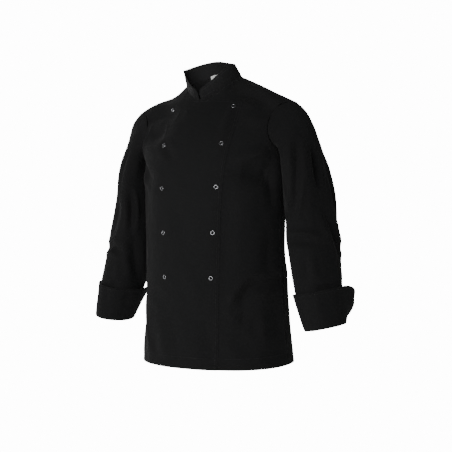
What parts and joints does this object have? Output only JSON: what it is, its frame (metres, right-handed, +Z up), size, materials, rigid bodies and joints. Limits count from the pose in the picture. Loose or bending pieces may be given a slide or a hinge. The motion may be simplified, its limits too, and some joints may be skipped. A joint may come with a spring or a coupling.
{
  "type": "chef jacket, worn, with no wearer",
  "caption": "Hollow double-breasted chef jacket as worn, with stand collar, long sleeves, split turned-back cuffs and press studs.",
  "frame": {"origin": "midway between the points where the shoulder seams meet the neck, where the wearer's shoulders carry the jacket", "axes": "+Z up, the jacket's front faces -Y, +X to the wearer's left"},
  "size_m": [0.74, 0.2918, 0.7758],
  "materials": {
    "twill": "matte polycotton twill, black, soft folds",
    "steel": "polished nickel-plated press stud ring",
    "tape": "woven label tape, pale, bare"
  },
  "bodies": {
    "root": {"front_right": "twill", "front_left": "twill", "back": "twill", "sleeve_right": "twill", "sleeve_left": "twill", "cuff_right": "twill", "cuff_left": "twill", "collar": "twill", "stud_right_1": "steel", "stud_right_2": "steel", "stud_right_3": "steel", "stud_right_4": "steel", "stud_right_5": "steel", "stud_left_1": "steel", "stud_left_2": "steel", "stud_left_3": "steel", "stud_left_4": "steel", "stud_left_5": "steel", "neck_label": "tape"}
  },
  "joints": []
}
